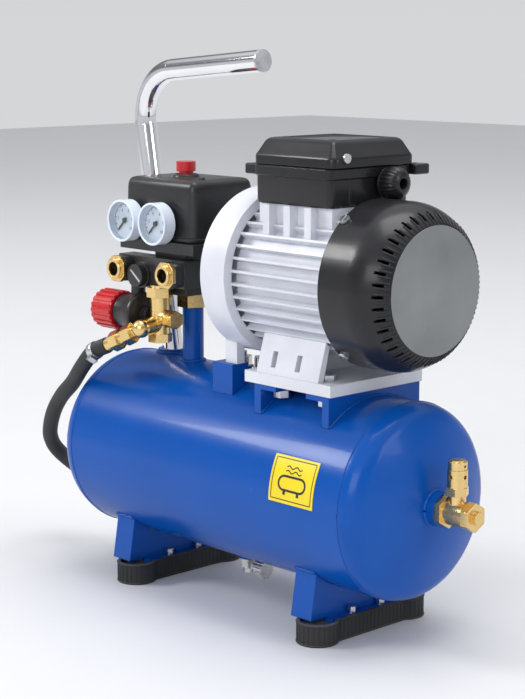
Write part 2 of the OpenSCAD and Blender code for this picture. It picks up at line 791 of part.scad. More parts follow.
module terminal_lid() {
    base = box_z + 29.1;
    color("#333438") difference() {
        union() {
            block([34, -44, base], [119.6, 44, base + 8]);
            // sloping sides up to a flat top
            intersection() {
                translate([34, 0, 0]) rotate([90, 0, 90]) linear_extrude(85.6)
                    polygon([[-44, base + 8], [-33, base + 20], [33, base + 20], [44, base + 8]]);
                translate([0, 44, 0]) rotate([90, 0, 0]) linear_extrude(88)
                    polygon([[34, base + 8], [44, base + 20], [110, base + 20], [119.6, base + 8]]);
            }
        }
        block([38, -40, base - 1], [115.6, 40, base + 8]);
        block([46, -32, base + 7.9], [108, 32, base + 17]);
        rod_x(115, 120, 1.7, -31, base + 7.4);
    }
}

module capacitor() {
    color("#d7d9dc") {
        rod_x(44, 96, 14, -14, box_z + 19);
        rod_x(96, 100, 6, -14, box_z + 19);
    }
}

module cable_gland() {
    color("#1f1f21") difference() {
        union() {
            rod_x(109, 116.6, 8, gland[0], gland[1]);
            hex_x(116.6, 123, 20, gland[0], gland[1]);
            rod_x(123, 134, 11.5, gland[0], gland[1]);
        }
        rod_x(108, 135, 4, gland[0], gland[1]);
    }
}

// ---- pump ----

module crankcase() {
    color("#e4e6e8") difference() {
        union() {
            motor_ring(flange_x[0], flange_x[1], flange_r, 0);
            motor_ring(-14, flange_x[0], 50, 0);
            // boss of the cylinder, which starts inside and stands out in front of the cover
            intersection() {
                rod_y(0, 62, 28, pump_x, axis_z);
                block([-14, 0, axis_z - 30], [30, 62, axis_z + 30]);
            }
            rod_y(26, 62, 28, pump_x, axis_z);
            // legs that stand on the tank's two small pads
            both_sides() block([-5, -36, tank_z + 88.1], [8, -28, axis_z - 50]);
        }
        motor_ring(-15, 9, 44, 0);
        motor_ring(12.5, 26, 17.55, 0);
        motor_ring(8, 13, 9, 0);
        // open ring behind the flange, which saves weight
        difference() {
            motor_ring(8, 26, 57, 49);
            rod_y(0, 70, 28, pump_x, axis_z);
        }
        intersection() {
            rod_y(0, 66, 22.7, pump_x, axis_z);
            block([-14, 0, axis_z - 30], [30, 66, axis_z + 30]);
        }
        rod_y(30, 66, 22.7, pump_x, axis_z);
        rod_y(47, 66, 25.05, pump_x, axis_z);
        rod_y(62, 70, 36, pump_x, axis_z);
        cover_holes(1.6);
    }
}

// Six screw holes of the crankcase cover
module cover_holes(r)
    for (a = cover_angles) on_motor(-18) rotate([0, 0, a]) translate([47, 0, 0]) cylinder(h = 12, r = r);

module crankcase_cover() {
    color("#d5d8da") difference() {
        union() {
            motor_ring(-16.6, -14.1, 50, 0);
            motor_ring(-14.1, -12, 43.8, 38);
        }
        rod_y(25.7, 60, 28.3, pump_x, axis_z);
        cover_holes(1.7);
    }
}

module crank_eccentric() {
    color("#8d9297") difference() {
        union() {
            translate([0, 0, crank_throw]) motor_ring(-8, 1.5, eccentric_r, 0);
            // counterweight opposite the crank
            intersection() {
                motor_ring(2, 6.5, 32, 0);
                block([0, -40, axis_z - 40], [8, 40, axis_z]);
            }
            motor_ring(1.5, 6.5, 13, 0);
        }
        motor_ring(-20, 20, shaft_r + 0.02, 0);
    }
}

module connecting_rod() {
    color("#b9bec3") difference() {
        union() {
            rod_x(-7.5, 0.5, 19, 0, crank_z);
            block([-6, 0, crank_z - 6], [0, rod_length - 9, crank_z + 6]);
            rod_x(-6, 0, eye_r + 2.4, rod_length, crank_z);
        }
        rod_x(-9, 2, eccentric_r + fit, 0, crank_z);
        rod_x(-9, 2, eye_r, rod_length, crank_z);
    }
}

module piston() {
    color("#c9cdd1") difference() {
        rod_y(rod_length - 7, crown_y + 5, piston_r, pump_x, axis_z);
        rod_y(rod_length - 8, crown_y, 18.4, pump_x, axis_z);
        difference() {
            rod_y(crown_y + 1.5, crown_y + 3.5, piston_r + 1, pump_x, axis_z);
            rod_y(crown_y + 1, crown_y + 4, 19.5, pump_x, axis_z);
        }
        rod_x(pump_x - 30, pump_x + 30, 2.5, rod_length, axis_z);
    }
    color("#8d9297") rod_x(pump_x - 20.5, pump_x + 20.5, 2.5, rod_length, axis_z);
}

module piston_ring() {
    color("#e9e4d6") difference() {
        rod_y(crown_y + 1.6, crown_y + 3.4, bore_r - fit, pump_x, axis_z);
        rod_y(crown_y + 1, crown_y + 4, 19.6, pump_x, axis_z);
    }
}

module pump_cylinder() {
    color("#c2c7cb") difference() {
        union() {
            rod_y(47.1, 63, 25, pump_x, axis_z);
            rod_y(62.1, cylinder_y, 26, pump_x, axis_z);
            for (k = [0 : 3]) rod_y(65 + 5 * k, 67 + 5 * k, 31.6, pump_x, axis_z);
            block([pump_x - 30, cylinder_y - 4, axis_z - 30], [pump_x + 30, cylinder_y, axis_z + 30]);
        }
        rod_y(40, 120, bore_r, pump_x, axis_z);
        pump_holes(2.6);
    }
}

// Four holes through the cylinder's top flange, the valve plate and the head
module pump_holes(r)
    for (x = [-26, 26], z = [-26, 26]) rod_y(cylinder_y - 10, cylinder_y + 40, r, pump_x + x, axis_z + z);

module valve_plate() {
    color("#a9aeb3") difference() {
        block([pump_x - 30, cylinder_y + 0.1, axis_z - 30], [pump_x + 30, cylinder_y + 3.1, axis_z + 30]);
        for (x = [-9, 9], z = [-4, 4]) rod_y(cylinder_y - 1, cylinder_y + 4, 2, pump_x + x, axis_z + z);
        pump_holes(2.6);
    }
}

module cylinder_head() {
    low = cylinder_y + 3.2;
    color("#c2c7cb") difference() {
        union() {
            block([pump_x - 30, low, axis_z - 30], [pump_x + 30, low + 12, axis_z + 30]);
            for (x = [pump_x - 30 : 9.5 : pump_x + 27])
                block([x, low + 12, axis_z - 30], [x + 3, low + 20, axis_z + 30]);
            for (x = [-26, 26], z = [-26, 26]) rod_y(low + 10, low + 16, 5, pump_x + x, axis_z + z);
        }
        // inlet and outlet chambers
        block([pump_x + 2, low - 1, axis_z - 16], [pump_x + 20, low + 9, axis_z + 16]);
        block([pump_x - 20, low - 1, axis_z - 16], [pump_x - 2, low + 9, axis_z + 16]);
        for (x = [-14, 14]) rod_z(axis_z - 31, axis_z - 10, 4, pump_x + x, low + 5);
        for (x = [-26, 26], z = [-26, 26]) rod_y(low + 16, low + 30, 5.6, pump_x + x, axis_z + z);
        pump_holes(2.6);
    }
}

// Bolts of the cylinder head and screws of the crankcase cover
module pump_bolts() {
    top = cylinder_y + 3.2 + 16;
    color("silver") {
        for (x = [-26, 26], z = [-26, 26]) translate([pump_x + x, 0, axis_z + z]) {
            rod_y(cylinder_y - 7, top, 2.5, 0, 0);
            hex_y(top, top + 4, 8, 0, 0);
            hex_y(cylinder_y - 7.6, cylinder_y - 4.1, 8, 0, 0);
        }
        for (a = cover_angles) on_motor(0) rotate([0, 0, a]) translate([47, 0, 0]) {
            translate([0, 0, -16.6]) cylinder(h = 9, r = 1.55, $fn = 24);
            translate([0, 0, -18.9]) cylinder(h = 2.3, r = 2.9, $fn = 24);
        }
    }
}

module intake_filter() {
    y = cylinder_y + 8.2;
    color("#2a2a2c") {
        rod_z(axis_z - 40, axis_z - 24, 3.9, pump_x + 14, y);
        difference() {
            rod_z(axis_z - 62, axis_z - 38, 15, pump_x + 14, y);
            for (k = [0 : 15]) translate([pump_x + 14, y, 0]) rotate([0, 0, 22.5 * k])
                block([12, -1, axis_z - 58], [16, 1, axis_z - 42]);
        }
    }
}

// Pipe from the cylinder head down and round to the check valve
delivery_route = [
    [-17, 95.7, 247], [-17, 95.7, 234], [-17, 93, 229], [-18, 86, 226.5], [-21, 62, 226], [-23, 34, 225],
    [-24, 14, 221], [-24, 3, 214], [-24, -2, 206], [-24, -3, 200]
];
module delivery_tube() {
    color("#34363a") swept_tube(smooth_path(delivery_route, 3), 3, 12, [1, 0, 0]);
}

// ---- every node in its place ----
module placed() translate([-box_centre[0], -box_centre[1], 0]) children();

placed() tank_shell();
placed() foot_brackets();
placed() rubber_feet();
placed() foot_bolts();
placed() motor_saddle();
placed() riser_pipe();
placed() capacity_label();
placed() drain_body();
placed() drain_knob();
placed() relief_elbow();
placed() relief_cap();
placed() handle_tube();
placed() handle_plug();
placed() air_hose();
placed() steel_fittings();
placed() brass_fittings();
placed() manifold();
placed() outlet_couplers();
placed() slotted_plug();
placed() regulator_body();
placed() regulator_knob();
placed() switch_base();
placed() switch_cover();
placed() switch_contacts();
placed() switch_button();
placed() switch_spring();
placed() gauge_cases();
placed() gauge_dials();
placed() gauge_needle_left();
placed() gauge_needle_right();
placed() gauge_lenses();
placed() motor_housing();
placed() motor_base();
placed() base_bolts();
placed() stator_core();
placed() stator_windings();
placed() rear_shield();
placed() motor_bearings();
placed() rotor();
placed() motor_shaft();
placed() fan();
placed() fan_cowl();
placed() cowl_disc();
placed() cover_screws();
placed() terminal_box();
placed() terminal_lid();
placed() capacitor();
placed() cable_gland();
placed() crankcase();
placed() crankcase_cover();
placed() crank_eccentric();
placed() connecting_rod();
placed() piston();
placed() piston_ring();
placed() pump_cylinder();
placed() valve_plate();
placed() cylinder_head();
placed() pump_bolts();
placed() intake_filter();
placed() delivery_tube();
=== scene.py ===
"""Looks of a small airbrush compressor on its air tank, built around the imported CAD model."""

import json
import math

import bmesh
import bpy
from mathutils import Matrix, Vector, noise


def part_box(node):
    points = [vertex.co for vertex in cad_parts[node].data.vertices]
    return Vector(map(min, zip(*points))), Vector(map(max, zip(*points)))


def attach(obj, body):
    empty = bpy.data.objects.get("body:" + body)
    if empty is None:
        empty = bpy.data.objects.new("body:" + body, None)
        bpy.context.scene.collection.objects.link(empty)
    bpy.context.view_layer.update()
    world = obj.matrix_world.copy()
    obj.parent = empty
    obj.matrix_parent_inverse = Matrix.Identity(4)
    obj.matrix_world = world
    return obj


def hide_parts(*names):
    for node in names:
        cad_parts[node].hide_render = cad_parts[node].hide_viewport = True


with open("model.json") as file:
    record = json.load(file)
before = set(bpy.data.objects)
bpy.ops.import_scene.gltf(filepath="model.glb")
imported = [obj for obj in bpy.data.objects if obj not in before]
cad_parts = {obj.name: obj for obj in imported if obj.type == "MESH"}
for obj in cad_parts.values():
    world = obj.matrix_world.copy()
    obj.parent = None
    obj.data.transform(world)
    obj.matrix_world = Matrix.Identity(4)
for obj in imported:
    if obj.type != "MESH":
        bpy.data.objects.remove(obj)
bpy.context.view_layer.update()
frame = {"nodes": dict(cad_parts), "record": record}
nodes = frame["nodes"]

tank_low, tank_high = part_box("tank_shell")
CENTRE_X = (tank_low.x + tank_high.x) / 2
CENTRE_Y = (tank_low.y + tank_high.y) / 2


def at(x, y, z):
    """A point given in millimetres from the tank's centre line and the floor, in the row frame."""
    return Vector((CENTRE_X + x / 1000, CENTRE_Y + y / 1000, z / 1000))


# ---------------------------------------------------------------- camera

def make_camera():
    data = bpy.data.cameras.new("photo_camera")
    data.sensor_width = 36.0
    data.lens = 93.09
    data.clip_start = 0.05
    data.clip_end = 20.0
    camera = bpy.data.objects.new("photo_camera", data)
    bpy.context.scene.collection.objects.link(camera)
    turn, lift = math.radians(46.713), math.radians(9.998)
    back = Vector((
        math.sin(turn) * math.cos(lift),
        -math.cos(turn) * math.cos(lift),
        math.sin(lift),
    ))
    camera.location = (1.0494, -0.9897, 0.4532)
    camera.rotation_mode = "QUATERNION"
    camera.rotation_quaternion = (-back).to_track_quat("-Z", "Y")
    bpy.context.scene.camera = camera


make_camera()


# ---------------------------------------------------------------- materials

def surface(name, colour, roughness, metallic=0.0, shade=0.12, patch=18.0, rough_spread=0.08,
            grain=1400.0, depth=0.00002, stretch=(1, 1, 1), coat=0.0, coat_roughness=0.06,
            worn=None, edge=0.0006, specular=0.5, dust_and_top_sheen=0.0):
    """A procedural finish: patchy colour, uneven gloss, a fine bump and softened edges.

    On request it has rubbed edges (worn, a colour), and dust with a painted top sheen: what faces up is
    mixed toward pale grey.
    """
    mat = bpy.data.materials.new(name)
    mat.use_nodes = True
    tree = mat.node_tree
    make, link = tree.nodes.new, tree.links.new
    shader = tree.nodes["Principled BSDF"]
    place = make("ShaderNodeTexCoord")
    scale = make("ShaderNodeMapping")
    scale.inputs["Scale"].default_value = stretch
    link(place.outputs["Object"], scale.inputs["Vector"])

    patches = make("ShaderNodeTexNoise")
    patches.inputs["Scale"].default_value = patch
    patches.inputs["Detail"].default_value = 5.0
    link(scale.outputs["Vector"], patches.inputs["Vector"])
    ramp = make("ShaderNodeValToRGB")
    ramp.color_ramp.elements[0].position = 0.3
    ramp.color_ramp.elements[1].position = 0.7
    ramp.color_ramp.elements[0].color = [c * (1 - shade) for c in colour] + [1]
    ramp.color_ramp.elements[1].color = [min(1, c * (1 + shade)) for c in colour] + [1]
    link(patches.outputs["Fac"], ramp.inputs["Fac"])
    tone = ramp.outputs["Color"]

    gloss = make("ShaderNodeMapRange")
    gloss.inputs["To Min"].default_value = max(0.02, roughness - rough_spread)
    gloss.inputs["To Max"].default_value = min(1.0, roughness + rough_spread)
    smears = make("ShaderNodeTexNoise")
    smears.inputs["Scale"].default_value = patch * 4
    smears.inputs["Detail"].default_value = 3.0
    link(scale.outputs["Vector"], smears.inputs["Vector"])
    link(smears.outputs["Fac"], gloss.inputs["Value"])
    link(gloss.outputs["Result"], shader.inputs["Roughness"])

    round_edge = make("ShaderNodeBevel")
    round_edge.samples = 4
    round_edge.inputs["Radius"].default_value = edge
    fine = make("ShaderNodeTexNoise")
    fine.inputs["Scale"].default_value = grain
    fine.inputs["Detail"].default_value = 3.0
    link(scale.outputs["Vector"], fine.inputs["Vector"])
    bump = make("ShaderNodeBump")
    bump.inputs["Distance"].default_value = depth
    link(fine.outputs["Fac"], bump.inputs["Height"])
    link(round_edge.outputs["Normal"], bump.inputs["Normal"])
    link(bump.outputs["Normal"], shader.inputs["Normal"])

    if worn is not None:
        facing = make("ShaderNodeNewGeometry")
        turn = make("ShaderNodeVectorMath")
        turn.operation = "DOT_PRODUCT"
        link(facing.outputs["Normal"], turn.inputs[0])
        link(round_edge.outputs["Normal"], turn.inputs[1])
        rubbed = make("ShaderNodeMapRange")
        rubbed.inputs["From Min"].default_value = 0.99
        rubbed.inputs["From Max"].default_value = 0.86
        link(turn.outputs["Value"], rubbed.inputs["Value"])
        break_up = make("ShaderNodeMath")
        break_up.operation = "MULTIPLY"
        link(rubbed.outputs["Result"], break_up.inputs[0])
        link(smears.outputs["Fac"], break_up.inputs[1])
        mix = make("ShaderNodeMix")
        mix.data_type = "RGBA"
        mix.inputs["B"].default_value = (*worn, 1)
        link(break_up.outputs["Value"], mix.inputs["Factor"])
        link(tone, mix.inputs["A"])
        tone = mix.outputs["Result"]
    # dust and painted top sheen: faces that point up are mixed toward pale grey, standing for dust and for
    # the light falling from above
    if dust_and_top_sheen:
        facing = make("ShaderNodeNewGeometry")
        up = make("ShaderNodeSeparateXYZ")
        link(facing.outputs["Normal"], up.inputs["Vector"])
        dust_and_sheen_amount = make("ShaderNodeMapRange")
        dust_and_sheen_amount.inputs["From Min"].default_value = 0.4
        dust_and_sheen_amount.inputs["From Max"].default_value = 1.0
        dust_and_sheen_amount.inputs["To Max"].default_value = dust_and_top_sheen
        link(up.outputs["Z"], dust_and_sheen_amount.inputs["Value"])
        dust_and_sheen_mask = make("ShaderNodeMath")
        dust_and_sheen_mask.operation = "MULTIPLY"
        link(dust_and_sheen_amount.outputs["Result"], dust_and_sheen_mask.inputs[0])
        link(patches.outputs["Fac"], dust_and_sheen_mask.inputs[1])
        mix = make("ShaderNodeMix")
        mix.data_type = "RGBA"
        mix.inputs["B"].default_value = (0.55, 0.55, 0.53, 1)
        link(dust_and_sheen_mask.outputs["Value"], mix.inputs["Factor"])
        link(tone, mix.inputs["A"])
        tone = mix.outputs["Result"]
    link(tone, shader.inputs["Base Color"])
    shader.inputs["Metallic"].default_value = metallic
    shader.inputs["Specular IOR Level"].default_value = specular
    shader.inputs["Coat Weight"].default_value = coat
    shader.inputs["Coat Roughness"].default_value = coat_roughness
    return mat


def clear_surface(name):
    """Clear glass or plastic."""
    mat = surface(name, (0.96, 0.98, 1.0), 0.04, shade=0.01, rough_spread=0.02, depth=0.000002)
    shader = mat.node_tree.nodes["Principled BSDF"]
    shader.inputs["Transmission Weight"].default_value = 1.0
    shader.inputs["IOR"].default_value = 1.3
    return mat


FINISH = {
    "blue_paint": surface("blue_enamel", (0.002, 0.078, 0.385), 0.25, shade=0.07, patch=9, rough_spread=0.05,
                          grain=520, depth=0.000045, coat=0.1, coat_roughness=0.05, specular=0.18,
                          worn=(0.02, 0.05, 0.2), edge=0.0009),
    "black_rubber": surface("black_rubber", (0.03, 0.03, 0.032), 0.62, shade=0.25, patch=40,
                            grain=1600, depth=0.00006, specular=0.35, dust_and_top_sheen=0.25, edge=0.0008),
    "zinc_steel": surface("zinc_plated_steel", (0.62, 0.63, 0.65), 0.3, 1.0, shade=0.16, patch=90,
                          rough_spread=0.12, grain=2400, depth=0.000012),
    "nickel_fitting": surface("nickel_plated_brass", (0.66, 0.65, 0.62), 0.28, 1.0, shade=0.12, patch=70,
                              rough_spread=0.1, grain=2600, depth=0.00001),
    "yellow_label": surface("yellow_vinyl", (0.86, 0.66, 0.01), 0.38, shade=0.05, patch=30, grain=1800,
                            depth=0.000008, edge=0.0002),
    "chrome_tube": surface("polished_chrome", (0.8, 0.81, 0.83), 0.07, 1.0, shade=0.03, patch=30,
                           rough_spread=0.03, grain=1500, depth=0.000002),
    "black_casting": surface("black_painted_casting", (0.022, 0.022, 0.024), 0.36, shade=0.3, patch=60,
                             grain=900, depth=0.00006, coat=0.25, coat_roughness=0.2,
                             worn=(0.12, 0.12, 0.12), dust_and_top_sheen=0.06),
    "black_plastic": surface("black_moulded_plastic", (0.016, 0.016, 0.018), 0.33, shade=0.2, patch=50,
                             grain=1900, depth=0.00003, worn=(0.07, 0.07, 0.075), dust_and_top_sheen=0.05),
    "red_plastic": surface("red_moulded_plastic", (0.58, 0.008, 0.012), 0.3, shade=0.1, patch=60,
                           grain=1500, depth=0.000015, coat=0.15, coat_roughness=0.12),
    "cream_plastic": surface("cream_plastic", (0.75, 0.7, 0.58), 0.45, shade=0.06, patch=40, depth=0.00001),
    "brass": surface("turned_brass", (0.80, 0.58, 0.25), 0.27, 1.0, shade=0.05, patch=40, rough_spread=0.05,
                     grain=1500, depth=0.000004, edge=0.0004),
    "spring_steel": surface("spring_steel", (0.5, 0.51, 0.53), 0.25, 1.0, shade=0.1, patch=80),
    "gauge_white": surface("white_gauge_enamel", (0.78, 0.86, 0.97), 0.3, shade=0.03, patch=60, grain=1500,
                           depth=0.000008, coat=0.4, coat_roughness=0.08),
    "needle_black": surface("needle_paint", (0.012, 0.012, 0.012), 0.45, shade=0.2, patch=200,
                            depth=0.000005),
    "clear_lens": clear_surface("clear_lens"),
    "white_alloy": surface("white_coated_casting", (0.68, 0.70, 0.76), 0.4, shade=0.06, patch=35,
                           grain=750, depth=0.00006, coat=0.2, coat_roughness=0.25,
                           worn=(0.5, 0.51, 0.53), edge=0.0007),
    "bare_alloy": surface("bare_cast_alloy", (0.6, 0.61, 0.63), 0.42, 0.9, shade=0.12, patch=60,
                          grain=900, depth=0.00007, rough_spread=0.12),
    "core_steel": surface("laminated_core", (0.2, 0.205, 0.21), 0.5, 0.8, shade=0.3, patch=120,
                          stretch=(14, 1, 1), depth=0.00004),
    "copper_wire": surface("enamelled_copper", (0.5, 0.17, 0.05), 0.3, 0.7, shade=0.3, patch=400,
                           stretch=(1, 1, 3), depth=0.00006),
    "bearing_steel": surface("ground_steel", (0.56, 0.57, 0.59), 0.2, 1.0, shade=0.06, patch=60),
    "gloss_black": surface("gloss_black_cowl", (0.012, 0.012, 0.015), 0.3, shade=0.18, patch=25,
                           rough_spread=0.07, grain=600, depth=0.00004, coat=0.12, coat_roughness=0.1,
                             specular=0.32,
                           worn=(0.05, 0.05, 0.055), dust_and_top_sheen=0.02),
    "grey_disc": surface("grey_painted_disc", (0.19, 0.205, 0.21), 0.42, shade=0.16, patch=22, grain=900,
                         depth=0.00003),
    "dark_pipe": surface("dark_plated_pipe", (0.07, 0.07, 0.075), 0.3, 0.8, shade=0.2, patch=60,
                         grain=1800, depth=0.000015),
}

for part in frame["record"]["subparts"]:
    mesh = nodes[part["node"]].data
    mesh.materials.clear()
    mesh.materials.append(FINISH[part["material_slot"]])


# ---------------------------------------------------------------- helpers for pieces

def piece(name, shape, slot, body="compressor", stands_for=(), sharp=38):
    """A bmesh in metres becomes a piece that rides on a body."""
    bmesh.ops.recalc_face_normals(shape, faces=shape.faces)
    mesh = bpy.data.meshes.new(name)
    shape.to_mesh(mesh)
    shape.free()
    mesh.polygons.foreach_set("use_smooth", [True] * len(mesh.polygons))
    mesh.set_sharp_from_angle(angle=math.radians(sharp))
    mesh.materials.append(FINISH[slot])
    thing = bpy.data.objects.new(name, mesh)
    bpy.context.scene.collection.objects.link(thing)
    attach(thing, body)
    if stands_for:
        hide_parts(*stands_for)
    return thing


def loft(shape, rings, closed=False):
    """Joins rings of as many points each with quads.

    closed joins the last ring to the first; otherwise both ends get a face.
    """
    rows = [[shape.verts.new(p) for p in ring] for ring in rings]
    count = len(rings[0])
    pairs = list(zip(rows, rows[1:])) + ([(rows[-1], rows[0])] if closed else [])
    for low, high in pairs:
        for k in range(count):
            m = (k + 1) % count
            shape.faces.new((low[k], low[m], high[m], high[k]))
    if not closed:
        shape.faces.new(rows[0][::-1])
        shape.faces.new(rows[-1])


LEAST_CORNER = 2.6
CORNER_STEPS = 6


def box_ring(x, y, corner, z, inset):
    """One level of a box with round upright corners, in millimetres."""
    r = max(corner - inset, min(corner, LEAST_CORNER))
    points = []
    for cx, cy, start in (
        (x[1] - inset - r, y[1] - inset - r, 0),
        (x[0] + inset + r, y[1] - inset - r, 90),
        (x[0] + inset + r, y[0] + inset + r, 180),
        (x[1] - inset - r, y[0] + inset + r, 270),
    ):
        for k in range(CORNER_STEPS + 1):
            a = math.radians(start + 90 * k / CORNER_STEPS)
            points.append(at(cx + r * math.cos(a), cy + r * math.sin(a), z))
    return points


def soft_box(shape, x, y, corner, levels):
    """A moulded box: levels are (height, inset) from the bottom up."""
    loft(shape, [box_ring(x, y, corner, z, inset) for z, inset in levels])


def turned(shape, start, along, profile, steps=48, closed=False):
    """A turned part: start is a row-frame point, profile is (distance along, radius) in millimetres."""
    along = Vector(along).normalized()
    side = along.orthogonal().normalized()
    other = along.cross(side)
    rings = []
    for distance, radius in profile:
        ring = []
        for k in range(steps):
            a = 2 * math.pi * k / steps
            spoke = side * math.cos(a) + other * math.sin(a)
            ring.append(start + along * distance / 1000 + spoke * radius / 1000)
        rings.append(ring)
    loft(shape, rings, closed=closed)


def cord_of(shape, path, radius, sides=8, closed=False, rough=0.0):
    """A bead or tube along a path; rough makes its thickness uneven, as in a weld."""
    count = len(path)
    rings = []
    for i, point in enumerate(path):
        before = path[(i - 1) % count] if closed else path[max(i - 1, 0)]
        after = path[(i + 1) % count] if closed else path[min(i + 1, count - 1)]
        along = (after - before).normalized()
        side = along.cross(Vector((0, 0, 1)))
        if side.length < 1e-3:
            side = Vector((1, 0, 0))
        side.normalize()
        other = along.cross(side)
        size = radius / 1000 * (1 + rough * noise.noise(point * 900) + rough * 0.6 * math.sin(i * 2.1))
        rings.append([
            point + (side * math.cos(t) + other * math.sin(t)) * size
            for t in (2 * math.pi * k / sides for k in range(sides))
        ])
    loft(shape, rings, closed=closed)


def cuboid(shape, centre, axes, sizes, edge=0.3):
    """A small block with bevelled edges; axes are three unit vectors, sizes and edge in millimetres."""
    made = bmesh.ops.create_cube(shape, size=1.0)
    turn = Matrix([list(a) for a in axes]).transposed()
    for v in made["verts"]:
        local = Vector([c * s / 1000 for c, s in zip(v.co, sizes)])
        v.co = centre + turn @ local
    if edge:
        edges = list({e for v in made["verts"] for e in v.link_edges})
        bmesh.ops.bevel(shape, geom=edges, offset=edge / 1000, segments=2, affect="EDGES", profile=0.6)


X, Y, Z = Vector((1, 0, 0)), Vector((0, 1, 0)), Vector((0, 0, 1))


def cross_head(shape, centre, along, radius):
    """A domed screw head with a cross recess shown as four raised quarters, radius in millimetres."""
    turned(shape, centre, along, [(0, radius), (radius * 0.25, radius), (radius * 0.5, radius * 0.86),
                                  (radius * 0.62, radius * 0.6), (radius * 0.6, radius * 0.5),
                                  (radius * 0.2, radius * 0.42)], steps=24)
    side = Vector(along).orthogonal().normalized()
    other = Vector(along).cross(side)
    for u, v in ((side, other), (-side, other), (side, -other), (-side, -other)):
        spot = centre + (u + v) * radius * 0.29 / 1000 + Vector(along) * radius * 0.42 / 1000
        cuboid(shape, spot, (u, v, Vector(along)), (radius * 0.34, radius * 0.34, radius * 0.36), 0.08)


# ---------------------------------------------------------------- hose

HOSE_ROUTE = [
    (-122, -61, 199), (-137.4, -64.1, 191.5), (-158, -60, 176), (-182, -52, 158), (-206, -46, 142),
    (-229, -38, 123), (-247, -29, 102), (-255, -20, 88), (-255, -12, 78), (-247, -5, 69),
    (-232, -1, 61), (-214, 0, 58), (-201, 0, 67), (-201, 0, 83.7),
]


HOSE_DIAMETER = 0.0135


def smooth_route(points, steps):
    """A smooth curve through the points (Catmull-Rom), in the row frame."""
    route = []
    last = len(points) - 1
    for i in range(last):
        a, b, c, d = (Vector(points[j]) for j in (max(i - 1, 0), i, i + 1, min(i + 2, last)))
        for k in range(steps):
            t = k / steps
            route.append(0.5 * (2 * b + (c - a) * t + (2 * a - 5 * b + 4 * c - d) * t ** 2
                                + (3 * b - a - 3 * c + d) * t ** 3))
    return [at(*p) for p in route + [Vector(points[last])]]


def make_hose():
    """The air hose and the two clips that hold its ends."""
    route = smooth_route(HOSE_ROUTE, 8)
    curve = bpy.data.curves.new("rubber_hose", "CURVE")
    curve.dimensions = "3D"
    curve.bevel_depth = HOSE_DIAMETER / 2
    curve.bevel_resolution = 6
    curve.use_fill_caps = True
    line = curve.splines.new("POLY")
    line.points.add(len(route) - 1)
    for point, place in zip(line.points, route):
        point.co = (*place, 1)
    line.use_smooth = True
    curve.materials.append(FINISH["black_rubber"])
    hose = bpy.data.objects.new("rubber_hose", curve)
    bpy.context.scene.collection.objects.link(hose)
    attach(hose, "compressor")
    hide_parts("air_hose")

    shape = bmesh.new()
    for i, turn in ((6, 1), (len(route) - 6, -1)):
        along = (route[i + turn] - route[i]).normalized()
        turned(shape, route[i], along, [(0, 7.3), (0.4, 7.6), (5.6, 7.6), (6, 7.3)], steps=40)
        side = along.orthogonal().normalized()
        screw = route[i] + along * 0.003 + side * 0.0082
        cuboid(shape, screw, (side, along, along.cross(side)), (4, 5, 7), 0.6)
    clips = piece("hose_clips", shape, "zinc_steel")


make_hose()


# ---------------------------------------------------------------- studio

def make_studio():
    """A pale floor, a soft sky and four large lamps."""
    shape = bmesh.new()
    corners = [shape.verts.new(p) for p in ((-6, -6, 0), (6, -6, 0), (6, 6, 0), (-6, 6, 0))]
    shape.faces.new(corners)
    floor = bpy.data.meshes.new("floor")
    shape.to_mesh(floor)
    shape.free()
    floor.materials.append(surface("studio_floor", (0.72, 0.72, 0.73), 0.6, shade=0.01, patch=3,
                                   depth=0.000005))
    thing = bpy.data.objects.new("floor", floor)
    bpy.context.scene.collection.objects.link(thing)

    world = bpy.data.worlds.new("studio")
    world.use_nodes = True
    bpy.context.scene.world = world
    tree = world.node_tree
    sky = tree.nodes.new("ShaderNodeTexCoord")
    split = tree.nodes.new("ShaderNodeSeparateXYZ")
    ramp = tree.nodes.new("ShaderNodeValToRGB")
    ramp.color_ramp.elements[0].position = 0.0
    ramp.color_ramp.elements[0].color = (0.78, 0.79, 0.81, 1)
    ramp.color_ramp.elements[1].position = 1.0
    ramp.color_ramp.elements[1].color = (0.95, 0.96, 1.0, 1)
    for place, level in ((0.14, 0.7), (0.3, 0.2), (0.5, 0.3), (0.62, 0.9)):
        stop = ramp.color_ramp.elements.new(place)
        stop.color = (level, level * 1.01, level * 1.05, 1)
    tree.links.new(sky.outputs["Generated"], split.inputs["Vector"])
    tree.links.new(split.outputs["Z"], ramp.inputs["Fac"])
    tree.links.new(ramp.outputs["Color"], tree.nodes["Background"].inputs["Color"])
    tree.nodes["Background"].inputs["Strength"].default_value = 0.85

    def lamp(name, spot, aim, size, power):
        data = bpy.data.lights.new(name, "AREA")
        data.shape = "RECTANGLE"
        data.size, data.size_y = size
        data.energy = power
        light = bpy.data.objects.new(name, data)
        bpy.context.scene.collection.objects.link(light)
        light.location = spot
        light.rotation_mode = "QUATERNION"
        light.rotation_quaternion = (Vector(aim) - Vector(spot)).to_track_quat("-Z", "Y")

    lamp("key", (-2.5, -2.3, 2.4), (0, 0, 0.2), (1.2, 0.9), 62)
    lamp("fill", (1.6, -3.9, 1.9), (0, 0, 0.2), (2.4, 1.6), 48)
    lamp("top", (0.2, 0.3, 3.6), (0, 0, 0.2), (2.2, 2.2), 64)
    lamp("side", (3.8, 1.0, 1.8), (0, 0, 0.2), (1.6, 1.6), 26)
    bpy.context.scene.view_settings.view_transform = "Standard"


make_studio()


# ---------------------------------------------------------------- weld beads

TANK_Z = 109.0
TANK_R = 75.0
FOOT_X = (-104, 110)


def round_tank(x, y):
    """A point just above the top of the tank's cylinder."""
    return at(x, y, TANK_Z + math.sqrt((TANK_R + 0.25) ** 2 - y * y))


